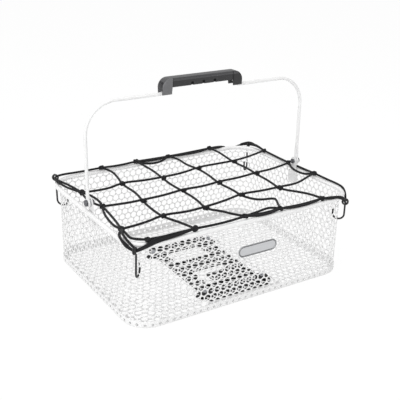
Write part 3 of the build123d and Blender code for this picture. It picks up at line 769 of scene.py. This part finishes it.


# The top and the edge above the panels are painted lighter as a painted highlight, and so is the outer face
# of the left foot. The inside of the shell, the notches and the strips beside the feet are painted dark as
# painted shade
def addGrip():
    footEdge = grip["left"] + grip["footWidth"] + grip["footEdge"]
    cuts = [((x, 0, 0), (1, 0, 0)) for seam in grip["seams"] for x in seam]
    cuts.append(((0, 0, grip["panelTop"]), (0, 0, 1)))
    piece = finishedCopy("grip", gripPlastic, "bail", 0.7, 3, cuts)
    for material in (paintedTopLightPlastic, paintedFootLightPlastic, paintedShadePlastic):
        piece.data.materials.append(material)
    for face in piece.data.polygons:
        spot, normal = face.center / mm, face.normal
        depth = grip["halfDepth"] - abs(spot.y - bail["pivotY"])
        facesFront, facesUp = normal.y < -0.4, normal.z > 0.3
        inside = depth > grip["wall"] and (abs(normal.y) > 0.6 or normal.z < -0.5)
        inShadeStrip = facesFront and any(low < spot.x < high for low, high in grip["seams"])
        notched = any(abs(spot.x - x) < grip["notchHalf"] for x in grip["notches"])
        notched = notched and depth > grip["skin"] and spot.y < bail["pivotY"]
        # painted shade on the inside, the notches and the seam strips
        if inside or inShadeStrip or notched and spot.z < grip["panelTop"] and normal.z < 0.9:
            face.material_index = 3
        # painted highlight on the outer face of the left foot
        elif facesFront and spot.x < footEdge:
            face.material_index = 2
        # painted highlight on the top and the edge above the panels
        elif facesUp or spot.z > grip["panelTop"]:
            face.material_index = 1


addGrip()
print("bail made")


# Fittings, with the width of their broken edges

for node, material, slot, edge in (
        ("pivot_bracket_left", whiteCoat, "white_coat", 0.4),
        ("pivot_bracket_right", whiteCoat, "white_coat", 0.4),
        ("bracket_rivets", whiteCoat, "white_coat", 0.35),
        ("pivot_bolts", darkSteel, "dark_steel", 0.25),
        ("pivot_spacers", zincSteel, "zinc_steel", 0.3),
        ("pivot_nuts", darkSteel, "zinc_steel", 0.35),
        ("adapter_plate", platePlastic, "black_plastic", 0.4),
        ("clamp_discs", platePlastic, "black_plastic", 0.6),
        ("clamp_washers", zincSteel, "zinc_steel", 0.25),
        ("adapter_screws", zincSteel, "zinc_steel", 0.35),
        ("adapter_nuts", zincSteel, "zinc_steel", 0.25),
        ("badge_clips", zincSteel, "zinc_steel", 0.15)):
    finishedCopy(node, material, "basket", edge)
print("fittings made")


# Badge: a bare stadium plate. Grey lines of painted shade, standing in for the shade at its edges, lie on
# its raised rim and at the foot of that rim
badge = {"x": 15.0, "z": 92.5, "length": 78.0, "height": 20.0, "lineDepth": 0.5,
         "lines": (((9.66, 8.9), -163.84), ((8.45, 7.5), -163.26))}


def stadium(radius):
    half = (badge["length"] - badge["height"]) / 2
    return circlePoints(radius, 16, -90, 180, (half, 0)) + circlePoints(radius, 16, 90, 180, (-half, 0))


def addBadge():
    piece = finishedCopy("badge_plate", badgeSteel, "basket", 0.35)
    piece.data.materials.append(badgeEdgeShade)
    bm = openMesh(piece.data)
    plain = len(bm.faces)
    for radii, front in badge["lines"]:
        ring = plateMesh("line", [stadium(radius) for radius in radii], badge["lineDepth"], 0.08)
        middle = front + badge["lineDepth"] / 2
        ring.transform(Matrix(((1, 0, 0, badge["x"] * mm), (0, 0, 1, middle * mm),
                               (0, 1, 0, badge["z"] * mm), (0, 0, 0, 1))))
        bm.from_mesh(ring)
        bpy.data.meshes.remove(ring)
    bm.faces.ensure_lookup_table()
    added = bm.faces[plain:]
    # the added rings carry the painted shade at the rim's edges
    for face in added:
        face.material_index = 1
    bmesh.ops.recalc_face_normals(bm, faces=added)
    closeMesh(bm, piece.data)


addBadge()
print("badge made")


# Net hooks: wire wound into an eye, a long outer leg, a bend through a hole and a short inner leg.
# Each corner: bearing from the long direction, eye outward and upward from the rim's centre line, lowest
# point, sideways shift
hooks = {"wire": 3.3, "eyeRadius": 4.85, "legOut": 6.4, "span": 20.4, "bend": 9.5, "kink": 1.6, "tip": 20.0,
         "turns": 1.35, "perTurn": 24, "leaves": -60, "lay": 3.45, "places": {
             "back_left": (45, 7.5, 8.0, -45.0, 1.2), "back_right": (37, 9.3, 5.5, -46.5, 0.0),
             "front_left": (45, 8.0, -7.5, -56.0, 0.0), "front_right": (45, 6.2, -13.6, -47.5, 0.0)}}


def addHook(corner, bearing, eyeOut, eyeUp, bottom, shift):
    sideX = 1 if corner.endswith("right") else -1
    sideY = 1 if corner.startswith("back") else -1
    outward = Vector((sideX * cos(radians(bearing)), sideY * sin(radians(bearing)), 0))
    sideways = Vector((outward.y, -outward.x, 0))
    origin = Vector((sideX * flatHalfX, sideY * flatHalfY, shell["rimHeight"])) + outward * shell["corner"]

    def place(out, up, side=0.0):
        return origin + outward * out + Vector((0, 0, up)) + sideways * (side + shift)

    out, radius = hooks["legOut"], hooks["eyeRadius"]
    inner = out - hooks["span"]
    start = radians(hooks["leaves"])
    coil = []
    for i in range(int(hooks["turns"] * hooks["perTurn"]) + 1):
        turn = i / hooks["perTurn"]
        angle = start + 2 * pi * turn
        lay = hooks["lay"] * (turn - hooks["turns"] / 2) * 0.9
        coil.append(place(eyeOut + radius * cos(angle), eyeUp + radius * sin(angle), lay))
    # the wire leaves its eye in a straight line down to the leg
    straight = (eyeOut + radius * cos(start) - out) / -sin(start)
    kink = place(out, eyeUp + radius * sin(start) - straight * cos(start), -hooks["lay"] * 0.3)
    corners = [place(inner, bottom + hooks["tip"]), place(inner, bottom), place(out, bottom), kink, coil[0]]
    line = wirePoints(corners, [hooks["bend"], hooks["bend"], hooks["kink"]], 10)
    mesh = tubeMesh(f"net_hook_{corner}_wire", line[:-1] + coil, hooks["wire"] / 2, 16)
    newPiece(f"net_hook_{corner}_wire", mesh, blackWire, "basket", f"net_hook_{corner}")


for corner, values in hooks["places"].items():
    addHook(corner, *values)
print("hooks made")


# Elastic net. A route is a list of points and of names of knots

net = {"diameter": 4.1, "long": 156.3, "cross": 151.7, "edge": 156.2, "side": 154.0, "knotHeight": 154.0}
innerKnots = {
    "a1": (-117.0, 73.6), "a2": (-38.1, 62.6), "a3": (47.9, 77.1), "a4": (129.2, 73.9),
    "b1": (-122.4, -17.5), "b2": (-38.0, -9.1), "b3": (38.6, -7.6), "b4": (127.6, -2.0),
    "c1": (-125.0, -90.1), "c2": (-46.7, -96.2), "c3": (40.0, -77.2), "c4": (118.7, -83.9)}
edgeKnots = {
    "left_a": (-198.0, 69.9), "left_b": (-193.3, -5.0), "left_c": (-206.5, -102.7),
    "back_1": (-116.2, 164.5), "back_2": (-42.4, 164.5), "back_3": (27.3, 160.5), "back_4": (128.6, 164.5),
    "right_a": (217.7, 97.0), "right_b": (214.5, 12.0), "right_c": (219.0, -59.5),
    "front_0": (-192.0, -161.0), "front_1": (-109.4, -162.5), "front_2": (-13.0, -161.4),
    "front_3": (57.1, -164.5), "front_4": (147.3, -164.5)}
netRoutes = {
    "net_border_cord": [
        "front_1", (-150, -166.4, 154.6), (-177.3, -168.1, 154.5), (-188.3, -169.1, 152.3),
        (-199.1, -166.1, 148), (-208.4, -161.4, 141.1), (-215.4, -154.4, 141.1), (-220.1, -145.1, 148),
        (-223.2, -134.5, 152.4), (-221.2, -121, 155.1), "left_c", (-199, -57, 154.2), "left_b",
        (-190.5, 14, 156.8), (-192.5, 46, 156.4), "left_a", (-203, 108, 155), (-216.5, 152.5, 156),
        (-202.2, 166.8, 156), (-158, 166.6, 154.6), "back_1", (-79, 163.2, 154.6), "back_2",
        (-8, 165.8, 154.6), "back_3", (78, 165.4, 154.6), "back_4", (150, 168.5, 154.6), (164, 172, 152),
        (176, 172.2, 146.5), (193, 171.4, 145.5), (210.8, 162.5, 153), (225.1, 143.3, 154), (224, 120, 155),
        "right_a", (218.6, 52, 154.6), "right_b", (219.4, 0.5, 154.9), (219.8, -26, 154.6), "right_c",
        (220.8, -90, 154.6), (222.1, -123.3, 154.5), (223, -135.3, 152), (220.1, -145.1, 145.5),
        (215.3, -152.2, 135.4), (206.2, -161.3, 135.4), (199.1, -166.1, 145.5), (189.3, -169, 152),
        (177.3, -168.1, 154.5), "front_4", (102, -166, 154.6), "front_3", (22, -163.8, 154.6), "front_2",
        (-62, -164.6, 154.6), "front_1"],
    "net_long_cord_a": [
        "left_a", (-157, 58, 155), "a1", (-78, 66.5, 155), "a2", (4, 66, 155), "a3", (88, 78.5, 155), "a4",
        (173, 83, 155.6), "right_a"],
    "net_long_cord_b": [
        "left_b", (-158, -14.5, 155), "b1", (-80, -14.5, 155), "b2", (0, -11.5, 155), "b3",
        (83, -6.5, 155), "b4", (168, -0.5, 155.6), "right_b"],
    "net_long_cord_c": [
        "left_c", (-166, -103, 155), "c1", (-86, -97, 155), "c2", (-3, -87.5, 155), "c3",
        (80, -81.5, 155), "c4", (158, -84, 155), (196, -67, 155.4), "right_c"],
    "net_cross_cord_1": [
        "back_1", (-105, 145, 154.4), (-108, 112, 152.6), "a1", (-114, 28, 152), "b1", (-126, -55, 152),
        "c1", (-113, -125, 153), "front_1"],
    "net_cross_cord_2": [
        "back_2", (-37, 138, 154.2), (-34.5, 104, 152.5), "a2", (-41, 26, 152), "b2", (-38, -52, 152),
        "c2", (-30, -119, 153), (-23, -143, 154.4), "front_2"],
    "net_cross_cord_3": [
        "back_3", (40.5, 143, 154.4), (38, 110, 152.6), "a3", (45, 34, 152), "b3", (42, -42, 152), "c3",
        (46, -98, 152.4), (56, -110.5, 152.8), (77.5, -117.5, 153.8), (78.5, -125, 154),
        (66.5, -145.5, 155), "front_3"],
    "net_cross_cord_4": [
        "back_4", (134, 139, 154.4), (131.5, 107, 152.6), "a4", (132, 36, 152), "b4", (126, -42, 152),
        "c4", (134, -111, 153.2), (146, -137, 154.8), "front_4"]}
slackRoutes = [
    ["back_2", (-31, 156, 152.6), (-10, 152.5, 149.6), (12, 153.5, 151.4), "back_3"],
    ["right_b", (208.8, 1, 154.6), (203, -17, 153.2), (203.5, -37, 152.4), (208, -52, 153.4), "right_c"],
    ["front_2", (12, -156, 155), (36, -150.5, 155), (48.5, -152.5, 155.4), "front_3"],
    ["left_c", (-209.5, -128, 155), (-212, -147, 155.4), "front_0"],
    ["front_0", (-165, -160.8, 154.6), (-136, -160.4, 154.8), "front_1"]]
# Where the border is laid double or threefold, between two knots or up to a hook's eye
secondRuns = [
    ["left_c", (-210.5, -88, 152.2), (-207, -55, 151.8), (-200.5, -22, 152.2), "left_b"],
    ["left_b", (-199.5, 14, 152.4), (-202.5, 46, 152.6), "left_a"],
    ["left_a", (-208.5, 100, 152.8), (-213.5, 124, 153.8), (-216.5, 142, 155.6), (-213.5, 154.5, 156)],
    ["back_2", (-22, 161, 154.2), (8, 160.4, 154), "back_3"],
    ["back_3", (58, 160.8, 153.8), (100, 160.4, 153.6), "back_4"],
    ["back_4", (142, 162.4, 155.4), (156, 166, 154.2), (169, 171.8, 150.5)],
    [(214.5, 156.8, 154), (219.5, 143, 157), (218.5, 120, 158), "right_a"],
    [(219.5, 151, 155), (223.5, 137, 157.4), (221, 116, 157), "right_a"],
    [(208, 164.5, 152.5), (214, 157, 157), (219, 146, 160), (216.5, 124, 160), "right_a"],
    ["front_2", (6, -166.8, 154.4), (34, -168.4, 153.8), "front_3"],
    ["front_3", (80, -168.5, 153.8), (122, -168.5, 153.8), "front_4"],
    ["front_4", (160, -168.5, 153.7), (178, -168.6, 153.5), (191, -168.6, 148.5), (200, -166.8, 140),
     (207, -160.6, 135.5)],
    ["front_1", (-148, -168.4, 154), (-176, -168.6, 153.4), (-195, -167.6, 147.8), (-209.5, -160, 140.6)],
    ["front_1", (-150, -164, 157), (-176, -165.4, 157), (-192, -167.2, 153.6), (-203, -166, 147),
     (-210.5, -158.8, 142)],
    [(-210.8, -158.6, 142.6), (-217, -148.5, 151.8), (-218.5, -133, 157.6), (-213.5, -116, 157.6), "left_c"],
    [(-212.8, -157, 140.4), (-220.8, -149, 144), (-222.4, -138, 149.4), (-221.8, -125, 154.2),
     (-213.5, -111, 154), "left_c"]]


# A border knot rests on the rim, and on the left it hangs beside it. Long cords pass over cross cords
def knotPlace(name, level):
    if name in innerKnots:
        return (*innerKnots[name], level)
    return (*edgeKnots[name], net["side" if name.startswith("left") else "edge"])


def addCords(node, routes, level=0.0):
    cords = []
    for route in routes:
        points = [knotPlace(point, level) if isinstance(point, str) else point for point in route]
        cords.append(tubeMesh("cord", splinePoints(points), net["diameter"] / 2, 14))
    mesh = joinMeshes(node + "_braid", cords)
    newPiece(node + "_braid", mesh, elastic, "basket", node)


for node, route in netRoutes.items():
    runs = [route] + (secondRuns if node == "net_border_cord" else [])
    addCords(node, runs, net["cross" if "cross" in node else "long"])
addCords("net_slack_loops", slackRoutes)
print("cords made")


# Knots: one tied lump, copied to every crossing and turned at random
knot = {"loop": 2.1, "swing": 1.35, "lift": 1.7, "cord": 1.95, "steps": 72, "tilt": 0.5, "seed": 7,
        "smallest": 1.06, "largest": 1.18}


def knotMesh():
    line = []
    for i in range(knot["steps"]):
        t = 2 * pi * i / knot["steps"]
        reach = knot["loop"] + knot["swing"] * cos(3 * t)
        line.append((reach * cos(2 * t), reach * sin(2 * t), knot["lift"] * sin(3 * t)))
    return tubeMesh("knot", line, knot["cord"], 10, closed=True)


def knotTree():
    tree, sizes = startTree("netKnots", {
        "Knot": "Object", "Tilt": "Float", "Seed": "Int", "Material": "Material"})
    shape = addNode(tree, "GeometryNodeObjectInfo", {"Object": sizes["Knot"], "As Instance": True})
    lean = addNode(tree, "ShaderNodeCombineXYZ", {0: sizes["Tilt"], 1: sizes["Tilt"], 2: pi})
    back = addNode(tree, "ShaderNodeVectorMath", {0: lean.outputs[0], "Scale": -1.0}, operation="SCALE")
    turn = addNode(tree, "FunctionNodeRandomValue", {
        0: back.outputs[0], 1: lean.outputs[0], "Seed": sizes["Seed"]}, data_type="FLOAT_VECTOR")
    size = addNode(tree, "FunctionNodeRandomValue", {
        2: knot["smallest"], 3: knot["largest"], "Seed": sizes["Seed"]}, data_type="FLOAT")
    tied = addNode(tree, "GeometryNodeInstanceOnPoints", {
        "Points": sizes["Geometry"], "Instance": shape.outputs["Geometry"], "Rotation": turn.outputs[0],
        "Scale": size.outputs[1]})
    closeTree(tree, tied.outputs[0], sizes["Material"])
    return tree


def addKnots():
    spots = [knotPlace(name, net["knotHeight"]) for name in [*innerKnots, *edgeKnots]]
    points = bpy.data.meshes.new("spots")
    points.from_pydata([Vector(spot) * mm for spot in spots], [], [])
    shape = addObject("knot", knotMesh())
    mesh = runTree(knotTree(), points, {
        "Knot": shape, "Tilt": knot["tilt"], "Seed": knot["seed"], "Material": elastic})
    bpy.data.objects.remove(shape)
    newPiece("net_knots_tied", mesh, None, "basket", "net_knots")


addKnots()
print("knots made")


# Studio: pale floor that fades to white for the camera, a soft world and three soft lamps, in metres

studio = {"world": 0.7, "fall": 0.5, "darker": (0.843, -0.537, 0), "floorWhite": 0.88, "floorGlow": 1.03,
          "floorHalf": 30, "floorDepth": 0.0004, "aim": (0, 0, 0.15), "lamps": {
              "top": {"place": (-0.3, -0.2, 2.2), "size": 2.2, "power": 17},
              "left": {"place": (-2.0, -1.4, 1.2), "size": 1.6, "power": 8},
              "front": {"place": (-0.5, -2.6, 1.0), "size": 1.6, "power": 14}}}


# The room is a little darker towards one side, and plain white where the camera sees it
def addWorld():
    world = bpy.data.worlds.new("studio")
    world.use_nodes = True
    bpy.context.scene.world = world
    tree = world.node_tree
    tree.nodes.clear()
    path = addNode(tree, "ShaderNodeLightPath")
    way = addNode(tree, "ShaderNodeTexCoord").outputs["Generated"]
    side = addNode(tree, "ShaderNodeVectorMath", {0: way, 1: studio["darker"]}, operation="DOT_PRODUCT")
    light = addNode(tree, "ShaderNodeMath", {
        0: side.outputs["Value"], 1: -studio["fall"] * studio["world"], 2: studio["world"]},
        operation="MULTIPLY_ADD")
    soft = addNode(tree, "ShaderNodeBackground", {
        "Color": linearColor("fafafa"), "Strength": light.outputs[0]})
    plain = addNode(tree, "ShaderNodeBackground", {"Color": (1, 1, 1, 1), "Strength": 1.0})
    mixed = addNode(tree, "ShaderNodeMixShader", {
        0: path.outputs["Is Camera Ray"], 1: soft.outputs[0], 2: plain.outputs[0]})
    addNode(tree, "ShaderNodeOutputWorld", {"Surface": mixed.outputs[0]})


def addSweep():
    material, tree = startMaterial("palePaperSweep")
    path = addNode(tree, "ShaderNodeLightPath")
    matte = addNode(tree, "ShaderNodeBsdfDiffuse", {"Color": linearColor("f4f4f4")})
    glow = addNode(tree, "ShaderNodeEmission", {"Color": (1, 1, 1, 1), "Strength": studio["floorGlow"]})
    seen = addNode(tree, "ShaderNodeMath", {
        0: path.outputs["Is Camera Ray"], 1: path.outputs["Is Glossy Ray"]}, operation="MAXIMUM")
    share = addNode(tree, "ShaderNodeMath", {
        0: seen.outputs[0], 1: studio["floorWhite"]}, operation="MULTIPLY")
    closeMaterial(material, addNode(tree, "ShaderNodeMixShader", {
        0: share.outputs[0], 1: matte.outputs[0], 2: glow.outputs[0]}))
    half, level = studio["floorHalf"], -studio["floorDepth"]
    corners = [(-half, -half, level), (half, -half, level), (half, half, level), (-half, half, level)]
    mesh = bpy.data.meshes.new("floor_sweep")
    mesh.from_pydata(corners, [], [(0, 1, 2, 3)])
    mesh.materials.append(material)
    sweep = addObject("floor_sweep", mesh)


def addLamp(name, setup):
    lamp = bpy.data.lights.new(name, "AREA")
    lamp.size = setup["size"]
    lamp.energy = setup["power"]
    holder = addObject(name, lamp)
    holder.location = setup["place"]
    toward = Vector(studio["aim"]) - Vector(setup["place"])
    holder.rotation_euler = toward.to_track_quat("-Z", "Y").to_euler()


addWorld()
addSweep()
for name, setup in studio["lamps"].items():
    addLamp(name, setup)
bpy.context.scene.view_settings.view_transform = "Standard"
